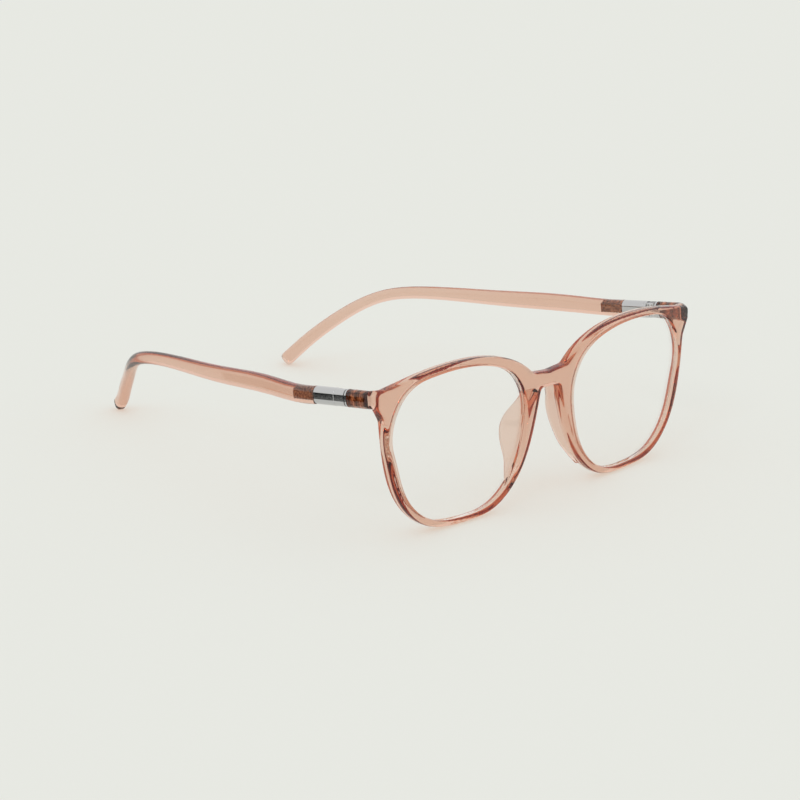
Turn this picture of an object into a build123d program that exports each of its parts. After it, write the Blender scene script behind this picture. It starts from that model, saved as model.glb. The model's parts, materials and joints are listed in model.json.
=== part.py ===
"""Full-rim computer glasses: moulded front, two plano lenses, sprung sleeve hinges and curved temples.

Frame: millimetres, +Z up, the front faces -Y and the wearer's left is +X. The glasses stand open on
their rims and temple tips. The origin is the middle of the underside of their bounding box.
"""

import os
from math import cos, radians, sin, sqrt

from build123d import *

os.makedirs("parts", exist_ok=True)

# ---- Driving dimensions, in millimetres and degrees ----
FRONT_Y = -70.27  # how far in front of the origin the bridge stands
FRONT_TILT = 2.4  # the top of the front leans back by this much
WRAP_RADIUS = 610  # plan-view curve of the front and lenses
RIM_DEPTH = 3.6  # front to back
FOOT_DEPTH = 4.6  # how far behind the bridge's face the wrapped rims touch the table
EDGE_ROUND = 1.0  # rounding of the front's outer edges
OPENING_ROUND = 0.6  # rounding of the edges round each lens

LENS_THICKNESS = 1.7
LENS_SETBACK = 0.95  # rim face to lens face
BEVEL_REACH = 0.6  # how far the lens edge goes into its groove
LENS_CLEARANCE = 0.04

PIN_OUT = 65.7  # hinge pin, outward from the middle of the bridge
PIN_BACK = 16.3  # hinge pin, behind the front face at the bridge
PIN_UP = 38.75  # hinge pin, above the underside of the rims
TEMPLE_SLOPE = 9.4  # the temples run down towards the tips
TEMPLE_LEAN = 2.0  # and slightly inwards

ARM_HEIGHT = 4.9
ARM_THICKNESS = 3.6
OVAL_ROUND = 1.7  # corner rounding of the oval section at the hinge
KNUCKLE_RADIUS = 1.5
KNUCKLE_GAP = 0.1  # knuckle to the plate behind it
MIDDLE_KNUCKLE = 1.7  # height of the leaf's one knuckle
AXIAL_GAP = 0.05
KNUCKLE_STACK = 4.3  # height of all three knuckles together
PLATE_THICKNESS = 0.6
FLANGE_THICKNESS = 0.9
FLANGE_INSET = 0.1  # the slider's flange is this much smaller than the sleeve
WEB_WIDTH = 2.4
COVER_REACH = 1.25  # how far the slider's outer side reaches forward past the pin, over the knuckles
COVER_GAP = 0.05

SCREW_RADIUS = 0.5
SCREW_CLEARANCE = 0.05
SCREW_FIT = 0.02  # clearance at the threaded end
SCREW_HEAD_RADIUS = 0.8
SCREW_HEAD_HEIGHT = 0.5

TONGUE_LENGTH = 6.2  # leaf tongue, moulded into the endpiece
TONGUE_HEIGHT = 2.9
TONGUE_THICKNESS = 1.6
POCKET_CLEARANCE = 0.05

GUIDE_LENGTH = 1.6  # square block that keeps the slider from turning
GUIDE_HEIGHT = 2.8
GUIDE_THICKNESS = 2.0
ROD_RADIUS = 0.5
ROD_CLEARANCE = 0.06
SHOULDER_LENGTH = 0.8  # the step in the sleeve that the spring pushes against
SPRING_LENGTH = 3.2
SPRING_RADIUS = 0.85
SPRING_WIRE = 0.14  # radius of the wire
SPRING_TURNS = 6
CHAMBER_RADIUS = 1.15
RETAINER_LENGTH = 0.8
RETAINER_RADIUS = 1.05
SLEEVE_GAP = 0.03  # flange to sleeve with the spring at rest
END_PLAY = 0.1  # room at the ends of the guide block and of the spring

SEAM_DISTANCE = 10.15  # hinge pin to the end of the sleeve, where the temple's plastic begins
SEAM_GAP = 0.02
ANCHOR_END = 18.4  # hinge pin to the end of the metal inside the temple
ANCHOR_HEIGHT = 2.5
ANCHOR_THICKNESS = 2.0

# ---- Frames of reference ----
tilt = radians(FRONT_TILT)
back_lift = FOOT_DEPTH * sin(tilt)
front_origin = (0, FRONT_Y, back_lift)
front_up = Vector(0, sin(tilt), cos(tilt))
front_back = Vector(0, cos(tilt), -sin(tilt))
front_view = Plane(origin=front_origin, x_dir=(1, 0, 0), z_dir=-front_back)  # x outward, y up
plan_view = Plane(origin=front_origin, x_dir=(1, 0, 0), z_dir=front_up)  # x outward, y back


def in_front(out, back, up):
    """The point that lies out, back and up from the foot of the front, in its leaning frame."""
    return Vector(*front_origin) + Vector(1, 0, 0) * out + front_back * back + front_up * up


slope = radians(TEMPLE_SLOPE)
lean = radians(TEMPLE_LEAN)
pin = in_front(PIN_OUT, PIN_BACK, PIN_UP)
temple_back = Vector(-sin(lean) * cos(slope), cos(lean) * cos(slope), -sin(slope))
temple_out = Vector(cos(lean), sin(lean), 0)
pin_up = temple_out.cross(temple_back)


def across(distance):
    """The plane across the left temple at this distance behind the hinge pin: x outward, y down."""
    return Plane(origin=pin + temple_back * distance, x_dir=temple_out, z_dir=temple_back)


def level(height):
    """The plane square to the left hinge pin at this height on it: x outward, y back."""
    return Plane(origin=pin + pin_up * height, x_dir=temple_out, z_dir=pin_up)



def mirrored(part):
    """The same piece for the wearer's right."""
    return mirror(part, about=Plane.YZ)


def write(part, name):
    """Label a finished piece and write it as a STEP file."""
    part.label = name
    export_step(part, f"parts/{name}.step")


# ---- Front ----
# Half of each outline, as (outward, up) from the middle of the bridge and the foot of the rims.
BRIDGE_TOP = (0, 36.1)
BRIDGE_FOOT = (0, 31.6)
RIM_TOP = [(7.0, 36.7), (10.0, 39.2), (18.3, 43.2), (37.0, 45.6), (48.7, 44.8), (60.0, 43.0), (66.3, 41.9)]
ENDPIECE_FOOT = (66.3, 38.2)
RIM_SIDE = [
    (63.7, 33.6),
    (62.4, 23.2),
    (57.8, 10.3),
    (47.8, 1.8),
    (35.4, 0.0),
    (22.7, 1.3),
    (11.6, 10.2),
    (6.9, 20.2),
    (3.8, 31.6),
]
OPENING = [
    (60.3, 24.5),
    (60.2, 33.0),
    (54.0, 41.0),
    (46.7, 42.9),
    (35.4, 43.4),
    (24.5, 42.0),
    (15.0, 37.6),
    (10.6, 30.0),
    (11.1, 20.0),
    (14.4, 11.1),
    (23.8, 3.1),
    (35.4, 1.8),
    (46.7, 3.6),
    (55.4, 11.0),
]
OPENING_STEPS = 28  # points that carry the opening's outline outward to the lens edge
CORNERS = [
    (RIM_TOP[0], 3.0),
    (RIM_TOP[-1], 1.3),
    (ENDPIECE_FOOT, 2.0),
    (RIM_SIDE[0], 5.0),
    (RIM_SIDE[-1], 1.2),
]


def wrap(out, depth=0):
    """A point on the wrap curve, in plan: how far back the front lies at this distance outward."""
    radius = WRAP_RADIUS - depth
    return (out, WRAP_RADIUS - sqrt(radius**2 - out**2))


def not_square(edge):
    """False for the straight edges that run front to back, where one side of the rim joins the next."""
    return edge.geom_type != GeomType.LINE or abs((edge % 0).dot(front_back)) < 0.9999


def opening(reach=0.0):
    """The outline of the lens opening, or of a lens that reaches further into the rim."""
    with BuildSketch(front_view) as shape:
        with BuildLine() as rim:
            curve = Spline(*OPENING, periodic=True, mode=Mode.PRIVATE)
            along = [step / OPENING_STEPS for step in range(OPENING_STEPS)]
            points = [curve @ t + Vector((curve % t).Y, -(curve % t).X) * reach for t in along]
            Spline(*points, periodic=True)
        make_face()
    return shape.sketch


def shell(front_depth, back_depth):
    """The curved slice of space between two depths behind the front's face."""
    with BuildPart() as slice:
        with BuildSketch(plan_view.offset(-5)):
            with BuildLine():
                outer = ThreePointArc(wrap(0, front_depth), wrap(40, front_depth), wrap(80, front_depth))
                inner = ThreePointArc(wrap(0, back_depth), wrap(40, back_depth), wrap(80, back_depth))
                Line(outer @ 0, inner @ 0)
                Line(outer @ 1, inner @ 1)
            make_face()
        extrude(amount=60)
    return slice.part


def lens_blank(grow):
    """A lens with its bevelled edge, or with grow above zero the groove that it sits in."""
    with BuildPart() as blank:
        add(shell(LENS_SETBACK - grow, LENS_SETBACK + LENS_THICKNESS + grow))
        extrude(opening(BEVEL_REACH + grow), amount=40, both=True, mode=Mode.INTERSECT)
        chamfer(blank.edges().filter_by(GeomType.BSPLINE), BEVEL_REACH)
    return blank.part


def oval(shrink=0.0):
    """The oval section that the hinge sleeve and the plastic on both sides of it share."""
    return RectangleRounded(ARM_THICKNESS - shrink, ARM_HEIGHT - shrink, OVAL_ROUND - shrink / 2)


LEAF_START = -(KNUCKLE_RADIUS + KNUCKLE_GAP + PLATE_THICKNESS)  # where the endpiece stops, short of the pin
ENDPIECE_PATH = [(-5.9, -11.4), (0, -11.05), (0, LEAF_START)]  # outward and back from the hinge pin
ENDPIECE_TURN = 2.6  # bend radius along the middle of the endpiece

with BuildPart() as endpiece:
    with BuildLine(level(0)) as bend:
        FilletPolyline(*ENDPIECE_PATH, radius=ENDPIECE_TURN)
    with BuildSketch(across(LEAF_START)):
        oval()
    sweep(path=bend.wires()[0])
    with BuildSketch(across(LEAF_START)):
        Rectangle(TONGUE_THICKNESS + 2 * POCKET_CLEARANCE, TONGUE_HEIGHT + 2 * POCKET_CLEARANCE)
    extrude(amount=-(TONGUE_LENGTH + POCKET_CLEARANCE), mode=Mode.SUBTRACT)

with BuildPart() as half_front:
    add(shell(0, RIM_DEPTH))
    with BuildSketch(front_view) as face:
        with BuildLine():
            Line(BRIDGE_TOP, RIM_TOP[0])
            Spline(*RIM_TOP)
            Polyline(RIM_TOP[-1], ENDPIECE_FOOT, RIM_SIDE[0])
            Spline(*RIM_SIDE)
            Polyline(RIM_SIDE[-1], BRIDGE_FOOT, BRIDGE_TOP)
        make_face()
        for corner, radius in CORNERS:
            fillet(face.vertices().sort_by_distance(corner)[0], radius)
    extrude(amount=-40, both=True, mode=Mode.INTERSECT)
    outline = [e for e in half_front.edges() if not_square(e) and e.center().X > 0.01]
    fillet(outline, EDGE_ROUND)
    kept = half_front.edges()
    extrude(opening(), amount=-40, both=True, mode=Mode.SUBTRACT)
    rims = [e for e in half_front.edges() if e not in kept and e.geom_type == GeomType.BSPLINE]
    fillet(rims, OPENING_ROUND)
    add(endpiece.part)
    add(lens_blank(LENS_CLEARANCE), mode=Mode.SUBTRACT)

with BuildPart() as front_frame:
    add(half_front.part)
    mirror(about=Plane.YZ)
write(front_frame.part, "front_frame")

# ---- Lenses ----
with BuildPart() as lens_left:
    add(lens_blank(0))
write(lens_left.part, "lens_left")
write(mirrored(lens_left.part), "lens_right")

# ---- Nose pads: fins bonded to the back of the rims beside the nose ----
PAD_THICKNESS = 2.0
PAD_ROUND = 0.95
PAD_GAP = 0.05  # bond line between pad and rim
PAD_ROOT = 1.2  # depth behind the front's face that the roots start from, before the pad is trimmed
# From the top down: the free edge as (outward, back, up), then the root as (outward, up).
PAD_STATIONS = [
    ((5.2, 3.9, 30.2), (4.9, 30.4)),
    ((6.9, 7.9, 27.3), (5.7, 28.2)),
    ((9.4, 9.8, 23.8), (6.9, 23.8)),
    ((11.0, 10.7, 20.2), (8.0, 20.2)),
    ((11.5, 9.9, 17.2), (9.2, 17.2)),
    ((12.1, 7.8, 12.5), (11.6, 12.9)),
    ((14.0, 6.0, 8.6), (13.9, 9.4)),
    ((17.4, 3.8, 5.0), (17.2, 5.8)),
]

with BuildPart() as nose_pad_left:
    edges = [in_front(*edge) for edge, root in PAD_STATIONS]
    roots = [in_front(root[0], PAD_ROOT, root[1]) for edge, root in PAD_STATIONS]
    middles = [(edge + root) / 2 for edge, root in zip(edges, roots)]
    run = Spline(*middles, mode=Mode.PRIVATE)
    for edge, root, middle in zip(edges, roots, middles):
        heading = run % run.param_at_point(middle)
        with BuildSketch(Plane(origin=middle, x_dir=edge - root, z_dir=heading)):
            RectangleRounded((edge - root).length, PAD_THICKNESS, PAD_ROUND)
    loft()
    add(shell(RIM_DEPTH + PAD_GAP, RIM_DEPTH + 20), mode=Mode.INTERSECT)
write(nose_pad_left.part, "nose_pad_left")
write(mirrored(nose_pad_left.part), "nose_pad_right")


# ---- Hinges: built for the wearer's left, then mirrored ----
def knuckle(low, high, grow=0.0):
    """One knuckle between two heights on the pin, or with grow above zero the room round it."""
    with BuildPart() as barrel:
        with BuildSketch(level(low - grow)):
            Circle(KNUCKLE_RADIUS + grow)
        extrude(amount=high - low + 2 * grow)
    return barrel.part


def web(low, high, reach, width=WEB_WIDTH):
    """The block that joins a knuckle to its plate, behind the pin or in front of it."""
    with BuildPart() as block:
        with BuildSketch(level(low)):
            with Locations((0, reach / 2)):
                Rectangle(width, abs(reach))
        extrude(amount=high - low)
    return block.part


half_middle = MIDDLE_KNUCKLE / 2
half_stack = KNUCKLE_STACK / 2
PLATE_FACE = KNUCKLE_RADIUS + KNUCKLE_GAP
TONGUE_NOTCH = 0.3
NOTCH_PITCH = 1.5

with BuildPart() as hinge_leaf_left:
    with BuildSketch(across(LEAF_START)):
        oval()
    extrude(amount=PLATE_THICKNESS)
    add(knuckle(-half_middle, half_middle))
    add(web(-half_middle, half_middle, -PLATE_FACE))
    with BuildSketch(across(LEAF_START)):
        Rectangle(TONGUE_THICKNESS, TONGUE_HEIGHT)
    extrude(amount=-TONGUE_LENGTH)
    for notch in (1, 2, 3):
        with BuildSketch(across(LEAF_START - notch * NOTCH_PITCH)):
            with GridLocations(TONGUE_THICKNESS, 0, 2, 1):
                Rectangle(TONGUE_NOTCH, TONGUE_HEIGHT)
        extrude(amount=TONGUE_NOTCH, mode=Mode.SUBTRACT)
    with BuildSketch(level(-half_middle)):
        Circle(SCREW_RADIUS + SCREW_CLEARANCE)
    extrude(amount=MIDDLE_KNUCKLE, mode=Mode.SUBTRACT)
write(hinge_leaf_left.part, "hinge_leaf_left")
write(mirrored(hinge_leaf_left.part), "hinge_leaf_right")

guide_start = PLATE_FACE + FLANGE_THICKNESS
shoulder_start = guide_start + GUIDE_LENGTH + END_PLAY
spring_start = shoulder_start + SHOULDER_LENGTH
retainer_start = spring_start + SPRING_LENGTH + END_PLAY
retainer_end = retainer_start + RETAINER_LENGTH
head_seat = half_stack - SCREW_HEAD_HEIGHT

with BuildPart() as hinge_slider_left:
    with BuildSketch(across(-COVER_REACH)):
        with Locations((ARM_THICKNESS / 2, 0)):
            Rectangle(ARM_THICKNESS, ARM_HEIGHT)
    extrude(amount=COVER_REACH + PLATE_FACE)
    for low, high in ((half_middle + AXIAL_GAP, half_stack), (-half_stack, -half_middle - AXIAL_GAP)):
        add(knuckle(low, high))
        add(web(low, high, PLATE_FACE))
    add(knuckle(-half_middle, half_middle, COVER_GAP), mode=Mode.SUBTRACT)
    leaf_room = half_middle + COVER_GAP
    add(web(-leaf_room, leaf_room, -PLATE_FACE, 2 * (KNUCKLE_RADIUS + COVER_GAP)), mode=Mode.SUBTRACT)
    with BuildSketch(across(PLATE_FACE)):
        Rectangle(ARM_THICKNESS, ARM_HEIGHT)
    extrude(amount=FLANGE_THICKNESS)
    # Everything so far is milled flush with the sleeve's oval.
    with BuildSketch(across(-PLATE_FACE)):
        oval(FLANGE_INSET)
    extrude(amount=PLATE_FACE + guide_start, mode=Mode.INTERSECT)
    with BuildSketch(across(guide_start)):
        Rectangle(GUIDE_THICKNESS, GUIDE_HEIGHT)
    extrude(amount=GUIDE_LENGTH)
    with BuildSketch(across(guide_start + GUIDE_LENGTH)):
        Circle(ROD_RADIUS)
    extrude(amount=retainer_end - guide_start - GUIDE_LENGTH)
    with BuildSketch(level(0)):
        Circle(SCREW_RADIUS + SCREW_CLEARANCE)
    extrude(amount=half_stack, mode=Mode.SUBTRACT)
    with BuildSketch(level(0)):
        Circle(SCREW_RADIUS + SCREW_FIT)
    extrude(amount=-half_stack, mode=Mode.SUBTRACT)
    with BuildSketch(level(head_seat)):
        Circle(SCREW_HEAD_RADIUS + SCREW_CLEARANCE)
    extrude(amount=SCREW_HEAD_HEIGHT, mode=Mode.SUBTRACT)
write(hinge_slider_left.part, "hinge_slider_left")
write(mirrored(hinge_slider_left.part), "hinge_slider_right")

SLOT_WIDTH = 0.25
SLOT_DEPTH = 0.25

with BuildPart() as hinge_screw_left:
    with BuildSketch(level(-half_stack)):
        Circle(SCREW_RADIUS)
    extrude(amount=KNUCKLE_STACK)
    with BuildSketch(level(head_seat)):
        Circle(SCREW_HEAD_RADIUS)
    extrude(amount=SCREW_HEAD_HEIGHT)
    with BuildSketch(level(half_stack)):
        Rectangle(2 * SCREW_HEAD_RADIUS, SLOT_WIDTH)
    extrude(amount=-SLOT_DEPTH, mode=Mode.SUBTRACT)
write(hinge_screw_left.part, "hinge_screw_left")
write(mirrored(hinge_screw_left.part), "hinge_screw_right")

with BuildPart() as hinge_spring_left:
    coil_height = SPRING_LENGTH - 2 * SPRING_WIRE - END_PLAY
    coil_pitch = coil_height / SPRING_TURNS
    coil_start = pin + temple_back * (spring_start + SPRING_WIRE + END_PLAY / 2)
    with BuildLine():
        coil = Helix(coil_pitch, coil_height, SPRING_RADIUS, center=coil_start, direction=temple_back)
    with BuildSketch(Plane(origin=coil @ 0, z_dir=coil % 0)):
        Circle(SPRING_WIRE)
    sweep(path=coil, is_frenet=True)
write(hinge_spring_left.part, "hinge_spring_left")
write(mirrored(hinge_spring_left.part), "hinge_spring_right")

with BuildPart() as spring_retainer_left:
    with BuildSketch(across(retainer_start)):
        Circle(RETAINER_RADIUS)
        Circle(ROD_RADIUS + SCREW_FIT, mode=Mode.SUBTRACT)
    extrude(amount=RETAINER_LENGTH)
write(spring_retainer_left.part, "spring_retainer_left")
write(mirrored(spring_retainer_left.part), "spring_retainer_right")

sleeve_start = guide_start + SLEEVE_GAP
SLEEVE_EDGE = 0.15

with BuildPart() as hinge_sleeve_left:
    with BuildSketch(across(sleeve_start)):
        oval()
    extrude(amount=SEAM_DISTANCE - sleeve_start)
    fillet(hinge_sleeve_left.faces().sort_by(Axis(pin, temple_back))[0].edges(), SLEEVE_EDGE)
    with BuildSketch(across(sleeve_start)):
        Rectangle(GUIDE_THICKNESS + 2 * POCKET_CLEARANCE, GUIDE_HEIGHT + 2 * POCKET_CLEARANCE)
    extrude(amount=shoulder_start - sleeve_start, mode=Mode.SUBTRACT)
    with BuildSketch(across(sleeve_start)):
        Circle(ROD_RADIUS + ROD_CLEARANCE)
    extrude(amount=spring_start - sleeve_start, mode=Mode.SUBTRACT)
    with BuildSketch(across(spring_start)):
        Circle(CHAMBER_RADIUS)
    extrude(amount=SEAM_DISTANCE - spring_start, mode=Mode.SUBTRACT)
write(hinge_sleeve_left.part, "hinge_sleeve_left")
write(mirrored(hinge_sleeve_left.part), "hinge_sleeve_right")

ARM_START = SEAM_DISTANCE + SEAM_GAP
SPIGOT_LENGTH = 0.5  # how far the anchor plugs into the sleeve's chamber
SPIGOT_CLEARANCE = 0.03
FIRST_SERRATION = ARM_START + 1.6
SERRATIONS = 6
SERRATION_PITCH = 1.1
SERRATION_DEPTH = 0.25

with BuildPart() as temple_anchor_left:
    with BuildSketch(across(ARM_START)):
        Rectangle(ANCHOR_THICKNESS, ANCHOR_HEIGHT)
    extrude(amount=ANCHOR_END - ARM_START)
    for groove in range(SERRATIONS):
        with BuildSketch(across(FIRST_SERRATION + groove * SERRATION_PITCH)):
            with GridLocations(0, ANCHOR_HEIGHT, 1, 2):
                Rectangle(ANCHOR_THICKNESS, 2 * SERRATION_DEPTH)
        extrude(amount=SERRATION_PITCH / 2, mode=Mode.SUBTRACT)
    with BuildSketch(across(ARM_START)):
        Circle(CHAMBER_RADIUS - SPIGOT_CLEARANCE)
    extrude(amount=-SPIGOT_LENGTH)
write(temple_anchor_left.part, "temple_anchor_left")
write(mirrored(temple_anchor_left.part), "temple_anchor_right")

# ---- Temples ----
# Middle of the temple as (outward, back, up) from the bridge, behind the straight part at the hinge.
ARM_COURSE = [
    (63.3, 47.0, 34.2),
    (59.8, 72.0, 31.2),
    (55.2, 97.0, 28.4),
    (50.5, 114.5, 23.9),
    (45.3, 123.0, 18.0),
    (35.5, 139.1, 0.98),
]
# Height and thickness of the section at evenly spaced stations from the hinge to the tip.
ARM_SECTIONS = [
    (4.9, 3.6),
    (4.9, 3.6),
    (5.05, 3.55),
    (5.1, 3.5),
    (4.9, 3.4),
    (4.6, 3.25),
    (4.3, 3.15),
    (4.0, 3.1),
    (3.8, 3.1),
    (3.7, 3.15),
    (3.8, 3.2),
    (4.0, 3.3),
    (4.15, 3.4),
    (4.2, 3.4),
]
SECTION_ROUND = 1.45
TIP_ROUND = 1.3
ARM_TRIM = 0.2  # cut off the front end, so that it stands square to the sleeve

with BuildPart() as temple_arm_left:
    halfway = (ARM_START + ANCHOR_END) / 2
    stops = (ARM_START - ARM_TRIM, halfway, ANCHOR_END)
    straight = [pin + temple_back * distance for distance in stops]
    curved = [Vector(out, FRONT_Y + back, up) for out, back, up in ARM_COURSE]
    course = Spline(*straight, *curved, mode=Mode.PRIVATE)
    for step, (high, thick) in enumerate(ARM_SECTIONS):
        place = course @ (step / (len(ARM_SECTIONS) - 1))
        heading = course % (step / (len(ARM_SECTIONS) - 1))
        with BuildSketch(Plane(origin=place, x_dir=heading.cross(Vector(0, 0, 1)), z_dir=heading)):
            RectangleRounded(thick, high, SECTION_ROUND)
    loft()
    fillet(temple_arm_left.faces().sort_by(Axis(course @ 1, course % 1))[-1].edges(), TIP_ROUND)
    with BuildSketch(across(ARM_START)):
        Rectangle(2 * ARM_HEIGHT, 2 * ARM_HEIGHT)
    extrude(amount=-2 * ARM_TRIM, mode=Mode.SUBTRACT)
    with BuildSketch(across(ARM_START)):
        Rectangle(ANCHOR_THICKNESS + 2 * POCKET_CLEARANCE, ANCHOR_HEIGHT + 2 * POCKET_CLEARANCE)
    extrude(amount=ANCHOR_END + POCKET_CLEARANCE - ARM_START, mode=Mode.SUBTRACT)
write(temple_arm_left.part, "temple_arm_left")
write(mirrored(temple_arm_left.part), "temple_arm_right")
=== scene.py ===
"""Looks, camera and light for the clear peach glasses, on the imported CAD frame."""

import json
from math import cos, radians, sin

import bmesh
import bpy
from mathutils import Matrix, Vector


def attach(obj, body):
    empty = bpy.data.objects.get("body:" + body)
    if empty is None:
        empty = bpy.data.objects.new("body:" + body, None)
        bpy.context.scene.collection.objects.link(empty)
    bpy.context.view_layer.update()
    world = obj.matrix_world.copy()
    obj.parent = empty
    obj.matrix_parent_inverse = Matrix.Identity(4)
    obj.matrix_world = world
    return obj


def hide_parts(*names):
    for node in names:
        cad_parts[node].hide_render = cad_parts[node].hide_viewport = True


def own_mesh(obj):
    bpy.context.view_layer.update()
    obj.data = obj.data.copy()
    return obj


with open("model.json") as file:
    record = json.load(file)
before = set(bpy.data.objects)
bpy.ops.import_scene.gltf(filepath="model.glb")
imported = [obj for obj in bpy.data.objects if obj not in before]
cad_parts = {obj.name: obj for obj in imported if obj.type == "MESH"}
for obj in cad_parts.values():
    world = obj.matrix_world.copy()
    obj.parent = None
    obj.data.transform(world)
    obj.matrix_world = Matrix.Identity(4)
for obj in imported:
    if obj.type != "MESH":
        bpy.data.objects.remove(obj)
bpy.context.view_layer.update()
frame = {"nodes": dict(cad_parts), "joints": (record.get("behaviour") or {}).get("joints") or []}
nodes = frame["nodes"]
scene = bpy.context.scene

# ---- Camera: from the wearer's right front, a little above, with a long lens ----
CAMERA_AIM = Vector((0.00497, -0.00819, 0.01241))
CAMERA_DISTANCE = 0.9113
CAMERA_AZIMUTH = radians(-47.912)
CAMERA_ELEVATION = radians(17.370)
CAMERA_ROLL = radians(2.023)
CAMERA_LENS = 140.58
FILM_WIDTH = 36


def direction(azimuth, elevation):
    """The unit vector from the object towards a viewer at this azimuth, from the front, and elevation."""
    level = cos(elevation)
    return Vector((sin(azimuth) * level, -cos(azimuth) * level, sin(elevation)))


def add_camera():
    data = bpy.data.cameras.new("camera")
    data.sensor_width = FILM_WIDTH
    data.lens = CAMERA_LENS
    data.clip_start = 0.01
    camera = bpy.data.objects.new("camera", data)
    scene.collection.objects.link(camera)
    back = direction(CAMERA_AZIMUTH, CAMERA_ELEVATION)
    right = Vector((0, 0, 1)).cross(back).normalized()
    up = back.cross(right)
    rolled_right = right * cos(CAMERA_ROLL) + up * sin(CAMERA_ROLL)
    rolled_up = back.cross(rolled_right)
    turn = Matrix((rolled_right, rolled_up, back)).transposed().to_4x4()
    camera.matrix_world = Matrix.Translation(CAMERA_AIM + back * CAMERA_DISTANCE) @ turn
    scene.camera = camera


# ---- Hinge places, from the frame ----
SIDES = ("left", "right")
joints = {joint["name"]: joint for joint in frame["joints"]}


def hinge_frame(side):
    """Where the hinge pin is, with the directions outward, back along the temple and up the pin."""
    place = Vector(joints[f"{side}_temple_fold"]["pos_m"])
    back = Vector(joints[f"{side}_temple_spring"]["axis"])
    up = Vector(joints[f"{side}_temple_fold"]["axis"])
    return place, up.cross(back), back, up


def reach_along(node_name, origin, along):
    """How far a CAD node reaches in one direction from the origin, as its lowest and highest value."""
    steps = [(corner.co - origin).dot(along) for corner in nodes[node_name].data.vertices]
    return min(steps), max(steps)


# ---- Materials ----
PLASTIC_IOR = 1.5
POLISH_SCALE = 900  # how fine the drift in the polish is, in noise cells per metre
METAL_RELIEF = 0.00002
BRONZE_GRAIN = 1800
BRONZE_ROUGHNESS = 0.35
BRONZE_DARK = (0.15, 0.04, 0.015)
BRONZE_LIGHT = (0.50, 0.22, 0.11)
BRONZE_RELIEF = 0.00003


def tree_for(name):
    material = bpy.data.materials.new(name)
    material.use_nodes = True
    tree = material.node_tree
    tree.nodes.clear()
    return material, tree


def node(tree, kind, **values):
    """A shader node with its inputs set by name."""
    made = tree.nodes.new(kind)
    for key, value in values.items():
        made.inputs[key.replace("_", " ")].default_value = value
    return made


def speckle(tree, scale, low, high, detail=4.0):
    """A value that drifts between low and high over the surface."""
    place = tree.nodes.new("ShaderNodeNewGeometry")
    noise = node(tree, "ShaderNodeTexNoise", Scale=scale, Detail=detail)
    level = node(tree, "ShaderNodeMapRange", **{"To Min": low, "To Max": high})
    tree.links.new(place.outputs["Position"], noise.inputs["Vector"])
    tree.links.new(noise.outputs["Fac"], level.inputs["Value"])
    return level.outputs["Result"], noise


def clear_plastic(name, absorbed, entry, bounce, shadow, roughness, cloud=0.0):
    """Clear moulded plastic. absorbed is how fast red, green and blue die away inside it, per metre.

    Light takes the entry colour on its way in, and the bounce colour at each reflection on the inner side.
    """
    material, tree = tree_for(name)
    link = tree.links.new
    strongest = max(absorbed)
    kept = [1 - part / strongest for part in absorbed]
    finish, _ = speckle(tree, POLISH_SCALE, roughness * 0.6, roughness * 1.4)
    skin = node(tree, "ShaderNodeBsdfPrincipled", IOR=PLASTIC_IOR)
    skin.inputs["Base Color"].default_value = (*entry, 1)
    skin.inputs["Transmission Weight"].default_value = 1 - cloud
    link(finish, skin.inputs["Roughness"])
    leaving = node(tree, "ShaderNodeBsdfRefraction", IOR=PLASTIC_IOR, Color=(1, 1, 1, 1))
    turned = node(tree, "ShaderNodeBsdfGlossy", Color=(*bounce, 1))
    link(finish, leaving.inputs["Roughness"])
    link(finish, turned.inputs["Roughness"])
    share = node(tree, "ShaderNodeFresnel", IOR=PLASTIC_IOR)
    inside = tree.nodes.new("ShaderNodeMixShader")
    link(share.outputs["Fac"], inside.inputs["Fac"])
    link(leaving.outputs["BSDF"], inside.inputs[1])
    link(turned.outputs["BSDF"], inside.inputs[2])
    place = tree.nodes.new("ShaderNodeNewGeometry")
    side = tree.nodes.new("ShaderNodeMixShader")
    link(place.outputs["Backfacing"], side.inputs["Fac"])
    link(skin.outputs["BSDF"], side.inputs[1])
    link(inside.outputs["Shader"], side.inputs[2])
    depth = node(tree, "ShaderNodeVolumeAbsorption", Color=(*kept, 1), Density=strongest)
    rays = tree.nodes.new("ShaderNodeLightPath")
    either = tree.nodes.new("ShaderNodeMath")
    either.operation = "MAXIMUM"
    link(rays.outputs["Is Shadow Ray"], either.inputs[0])
    link(rays.outputs["Is Diffuse Ray"], either.inputs[1])
    passing = node(tree, "ShaderNodeBsdfTransparent", Color=(*shadow, 1))
    mix = tree.nodes.new("ShaderNodeMixShader")
    link(either.outputs["Value"], mix.inputs["Fac"])
    link(side.outputs["Shader"], mix.inputs[1])
    link(passing.outputs["BSDF"], mix.inputs[2])
    output = tree.nodes.new("ShaderNodeOutputMaterial")
    link(mix.outputs["Shader"], output.inputs["Surface"])
    link(depth.outputs["Volume"], output.inputs["Volume"])
    return material


def metal(name, colour, roughness, grain_scale, bump):
    """Polished or worked metal with a fine uneven finish."""
    material, tree = tree_for(name)
    link = tree.links.new
    body = node(tree, "ShaderNodeBsdfPrincipled", Metallic=1.0)
    body.inputs["Base Color"].default_value = (*colour, 1)
    finish, noise = speckle(tree, grain_scale, roughness * 0.7, roughness * 1.3)
    link(finish, body.inputs["Roughness"])
    relief = node(tree, "ShaderNodeBump", Strength=bump, Distance=METAL_RELIEF)
    link(noise.outputs["Fac"], relief.inputs["Height"])
    link(relief.outputs["Normal"], body.inputs["Normal"])
    output = tree.nodes.new("ShaderNodeOutputMaterial")
    link(body.outputs["BSDF"], output.inputs["Surface"])
    return material


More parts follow.
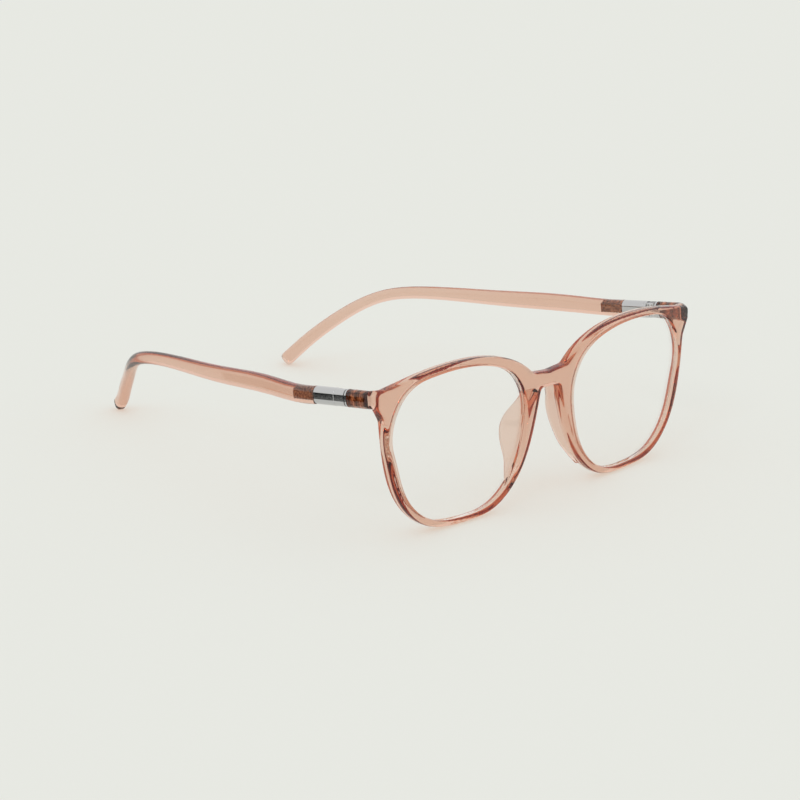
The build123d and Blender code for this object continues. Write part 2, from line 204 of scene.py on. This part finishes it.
def bronze(name):
    """Rough metal, mottled brown, as it shows through the peach plastic."""
    material, tree = tree_for(name)
    link = tree.links.new
    body = node(tree, "ShaderNodeBsdfPrincipled", Metallic=1.0, Roughness=BRONZE_ROUGHNESS)
    _, noise = speckle(tree, BRONZE_GRAIN, 0, 1)
    ramp = tree.nodes.new("ShaderNodeValToRGB")
    dark, light = ramp.color_ramp.elements
    dark.position, dark.color = 0.38, (*BRONZE_DARK, 1)
    light.position, light.color = 0.62, (*BRONZE_LIGHT, 1)
    link(noise.outputs["Fac"], ramp.inputs["Fac"])
    link(ramp.outputs["Color"], body.inputs["Base Color"])
    relief = node(tree, "ShaderNodeBump", Strength=0.8, Distance=BRONZE_RELIEF)
    link(noise.outputs["Fac"], relief.inputs["Height"])
    link(relief.outputs["Normal"], body.inputs["Normal"])
    output = tree.nodes.new("ShaderNodeOutputMaterial")
    link(body.outputs["BSDF"], output.inputs["Surface"])
    return material, tree, body, ramp.outputs["Color"]


STUB_END = -0.0022  # where the front's plastic stops, measured back from the hinge pin
GROOVE_PITCH = 0.0028
GROOVE_PAINTED_SHADE, RIDGE_PAINTED_LIGHT = 0.25, 1.6  # painted shade in the grooves on the tongue and painted light on the ridges between them, as factors on the bronze
CHROME = (0.56, 0.56, 0.57)
CHROME_ROUGHNESS = 0.1
CHROME_GRAIN = 2500
STEEL = (0.56, 0.55, 0.54)
STEEL_ROUGHNESS = 0.3
STEEL_GRAIN = 4000
PEACH = (30, 122, 172)  # how fast the plastic takes up red, green and blue, per metre
ENTRY = (0.87, 0.75, 0.67)
BOUNCE = (0.78, 0.48, 0.36)
SHADOW = (0.97, 0.95, 0.93)
peach = clear_plastic("peach_plastic", PEACH, ENTRY, BOUNCE, SHADOW, 0.02)
milky_peach = clear_plastic("milky_peach_plastic", PEACH, ENTRY, BOUNCE, SHADOW, 0.05, cloud=0.04)
WATER_CLEAR = (1, 0.5, 1)
WHITE = (1, 1, 1)
clear = clear_plastic("lens_plastic", WATER_CLEAR, WHITE, WHITE, WHITE, 0.0)
chrome = metal("polished_metal", CHROME, CHROME_ROUGHNESS, CHROME_GRAIN, 0.1)
steel = metal("worked_steel", STEEL, STEEL_ROUGHNESS, STEEL_GRAIN, 0.3)
insert, *_ = bronze("bronze_insert")


def leaf_metal(side):
    """Polished at the hinge, and bronze inside the plastic, with painted shade in stripes for the grooves
    on the tongue and painted light between them.
    """
    material, tree, dull, colour = bronze(f"leaf_metal_{side}")
    link = tree.links.new
    origin, _, back, _ = hinge_frame(side)
    place = tree.nodes.new("ShaderNodeTexCoord")
    offset = tree.nodes.new("ShaderNodeVectorMath")
    offset.operation = "SUBTRACT"
    offset.inputs[1].default_value = origin
    along = tree.nodes.new("ShaderNodeVectorMath")
    along.operation = "DOT_PRODUCT"
    along.inputs[1].default_value = back
    link(place.outputs["Object"], offset.inputs[0])
    link(offset.outputs["Vector"], along.inputs[0])
    # Painted shade and light: the bronze darkens in stripes for the grooves along the tongue and lightens
    # between them.
    groove_shade_wave = tree.nodes.new("ShaderNodeMath")
    groove_shade_wave.operation = "PINGPONG"
    groove_shade_wave.inputs[1].default_value = GROOVE_PITCH / 2
    link(along.outputs["Value"], groove_shade_wave.inputs[0])
    levels = {"From Max": GROOVE_PITCH / 2, "To Min": GROOVE_PAINTED_SHADE, "To Max": RIDGE_PAINTED_LIGHT}
    dark = node(tree, "ShaderNodeMapRange", **levels)
    link(groove_shade_wave.outputs["Value"], dark.inputs["Value"])
    shaded = tree.nodes.new("ShaderNodeVectorMath")
    shaded.operation = "SCALE"
    link(colour, shaded.inputs[0])
    link(dark.outputs["Result"], shaded.inputs["Scale"])
    link(shaded.outputs["Vector"], dull.inputs["Base Color"])
    polished = node(tree, "ShaderNodeBsdfPrincipled", Metallic=1.0, Roughness=CHROME_ROUGHNESS)
    polished.inputs["Base Color"].default_value = (*CHROME, 1)
    outside = tree.nodes.new("ShaderNodeMath")
    outside.operation = "GREATER_THAN"
    outside.inputs[1].default_value = STUB_END
    link(along.outputs["Value"], outside.inputs[0])
    mix = tree.nodes.new("ShaderNodeMixShader")
    link(outside.outputs["Value"], mix.inputs["Fac"])
    link(dull.outputs["BSDF"], mix.inputs[1])
    link(polished.outputs["BSDF"], mix.inputs[2])
    output = next(made for made in tree.nodes if made.type == "OUTPUT_MATERIAL")
    link(mix.outputs["Shader"], output.inputs["Surface"])
    return material


def dress(name, material):
    """Give a CAD node this material."""
    data = nodes[name].data
    data.materials.clear()
    data.materials.append(material)


for side in SIDES:
    dress(f"lens_{side}", clear)
    dress(f"nose_pad_{side}", peach)
    dress(f"hinge_leaf_{side}", leaf_metal(side))
    dress(f"hinge_slider_{side}", chrome)
    dress(f"hinge_sleeve_{side}", chrome)
    dress(f"hinge_screw_{side}", steel)
    dress(f"hinge_spring_{side}", steel)
    dress(f"spring_retainer_{side}", steel)
    dress(f"temple_anchor_{side}", insert)
    dress(f"temple_arm_{side}", milky_peach)
dress("front_frame", peach)


# ---- Mouldings: the plastic as one smooth piece cast round its metal inserts ----
VOXEL = 0.00015
WELD = 0.000001
SOFTEN_ROUNDS = 36
PAD_OVERLAP = 0.0004  # how far the pads are pushed into the rims before the two are blended


def filler(mesh, side, start, end, width, height):
    """A block that fills the pocket of a metal insert between two distances behind the pin."""
    origin, across, back, up = hinge_frame(side)
    turn = Matrix((across, back, up)).transposed().to_4x4()
    middle = Matrix.Translation(origin + back * (start + end) / 2)
    size = Matrix.Diagonal((width, end - start, height, 1))
    bmesh.ops.create_cube(mesh, size=1, matrix=middle @ turn @ size)


def moulding(name, body, sources, fillers, material):
    """One smooth closed piece from several CAD nodes, blended where they meet."""
    mesh = bmesh.new()
    for source in sources:
        part = nodes[source].data.copy()
        if source.startswith("nose_pad"):
            part.transform(Matrix.Translation((0, -PAD_OVERLAP, 0)))
        mesh.from_mesh(part)
        bpy.data.meshes.remove(part)
    bmesh.ops.remove_doubles(mesh, verts=mesh.verts, dist=WELD)
    for block in fillers:
        filler(mesh, *block)
    data = bpy.data.meshes.new(name)
    mesh.to_mesh(data)
    mesh.free()
    piece = bpy.data.objects.new(name, data)
    scene.collection.objects.link(piece)
    remesh = piece.modifiers.new("blend", "REMESH")
    remesh.mode = "VOXEL"
    remesh.voxel_size = VOXEL
    soften = piece.modifiers.new("soften", "SMOOTH")
    soften.factor = 0.5
    soften.iterations = SOFTEN_ROUNDS
    smooth = piece.evaluated_get(bpy.context.evaluated_depsgraph_get())
    piece.data = bpy.data.meshes.new_from_object(smooth)
    piece.modifiers.clear()
    piece.data.shade_smooth()
    piece.data.materials.clear()
    piece.data.materials.append(material)
    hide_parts(*sources)
    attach(piece, body)
    return piece


INSERT_WALL = 0.0002  # a filler reaches this far past the end of its metal insert
TONGUE_WIDTH = 0.0020
TONGUE_HEIGHT = 0.0033
ANCHOR_WIDTH = 0.0024
ANCHOR_HEIGHT = 0.0029


def leaf_filler(side):
    origin, _, back, _ = hinge_frame(side)
    start, _ = reach_along(f"hinge_leaf_{side}", origin, back)
    return side, start - INSERT_WALL, STUB_END, TONGUE_WIDTH, TONGUE_HEIGHT


def anchor_filler(side):
    origin, _, back, _ = hinge_frame(side)
    _, end = reach_along(f"temple_anchor_{side}", origin, back)
    start, _ = reach_along(f"temple_arm_{side}", origin, back)
    return side, start, end + INSERT_WALL, ANCHOR_WIDTH, ANCHOR_HEIGHT


moulding(
    "front_moulding",
    "front",
    ["front_frame", "nose_pad_left", "nose_pad_right"],
    [leaf_filler(side) for side in SIDES],
    peach,
)
for side in SIDES:
    moulding(
        f"temple_moulding_{side}",
        f"temple_{side}",
        [f"temple_arm_{side}"],
        [anchor_filler(side)],
        milky_peach,
    )


def soft_spring(side):
    """The CAD spring again, as a piece with its own mesh, carried by the slider."""
    source = nodes[f"hinge_spring_{side}"]
    piece = bpy.data.objects.new(f"coil_spring_{side}", source.data.copy())
    scene.collection.objects.link(piece)
    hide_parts(source.name)
    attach(piece, f"slider_{side}")
    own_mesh(piece)


for side in SIDES:
    soft_spring(side)


# ---- Floor and light ----
FLOOR_COLOUR = (0.812, 0.823, 0.79)
FLOOR_SIZE = 40
FLOOR_DROP = 0.0001  # just under the rims and temple tips


def add_floor():
    material, tree = tree_for("studio_floor")
    body = node(tree, "ShaderNodeBsdfDiffuse", Color=(*FLOOR_COLOUR, 1))
    output = tree.nodes.new("ShaderNodeOutputMaterial")
    tree.links.new(body.outputs["BSDF"], output.inputs["Surface"])
    bpy.ops.mesh.primitive_plane_add(size=FLOOR_SIZE, location=(0, 0, -FLOOR_DROP))
    floor = bpy.context.object
    floor.name = "studio_floor"
    floor.data.materials.append(material)


TENT_COLOUR = (0.93, 0.93, 0.91)


def add_sky():
    """A studio as evenly bright as a white tent."""
    world = bpy.data.worlds.new("studio")
    scene.world = world
    world.use_nodes = True
    world.node_tree.nodes["Background"].inputs["Color"].default_value = (*TENT_COLOUR, 1)


def add_sun(name, azimuth, elevation, spread, strength):
    """A far light with a round reflection that is this many degrees across."""
    data = bpy.data.lights.new(name, "SUN")
    data.angle = radians(spread)
    data.energy = strength
    lamp = bpy.data.objects.new(name, data)
    scene.collection.objects.link(lamp)
    towards = direction(radians(azimuth), radians(elevation))
    lamp.rotation_euler = towards.to_track_quat("Z", "Y").to_euler()


FLAG_COLOUR = (0.015, 0.015, 0.017)
FLAG_PLACE = (-0.140, 0.040, 0.014)
FLAG_TURN = radians(46)
FLAG_SIZE = (0.10, 0.028, 1)


def add_flag():
    """A low black card beside the glasses, for the dark line along the polished sleeve."""
    material, tree = tree_for("studio_flag")
    body = node(tree, "ShaderNodeBsdfDiffuse", Color=(*FLAG_COLOUR, 1))
    output = tree.nodes.new("ShaderNodeOutputMaterial")
    tree.links.new(body.outputs["BSDF"], output.inputs["Surface"])
    bpy.ops.mesh.primitive_plane_add(size=1, location=FLAG_PLACE, rotation=(radians(90), 0, FLAG_TURN))
    flag = bpy.context.object
    flag.name = "studio_flag"
    flag.scale = FLAG_SIZE
    flag.data.materials.append(material)
    flag.visible_camera = False
    flag.visible_diffuse = False
    flag.visible_shadow = False
    flag.visible_transmission = False


add_camera()
add_floor()
add_sky()
add_flag()
add_sun("key_light", -75, 42, 20, 0.25)
add_sun("sparkle", -61, 20, 2, 0.05)

LIGHT_BOUNCES = 40  # light turns many times inside the clear plastic
scene.view_settings.view_transform = "Standard"
scene.cycles.max_bounces = LIGHT_BOUNCES
scene.cycles.glossy_bounces = LIGHT_BOUNCES
scene.cycles.transmission_bounces = LIGHT_BOUNCES
scene.cycles.transparent_max_bounces = LIGHT_BOUNCES
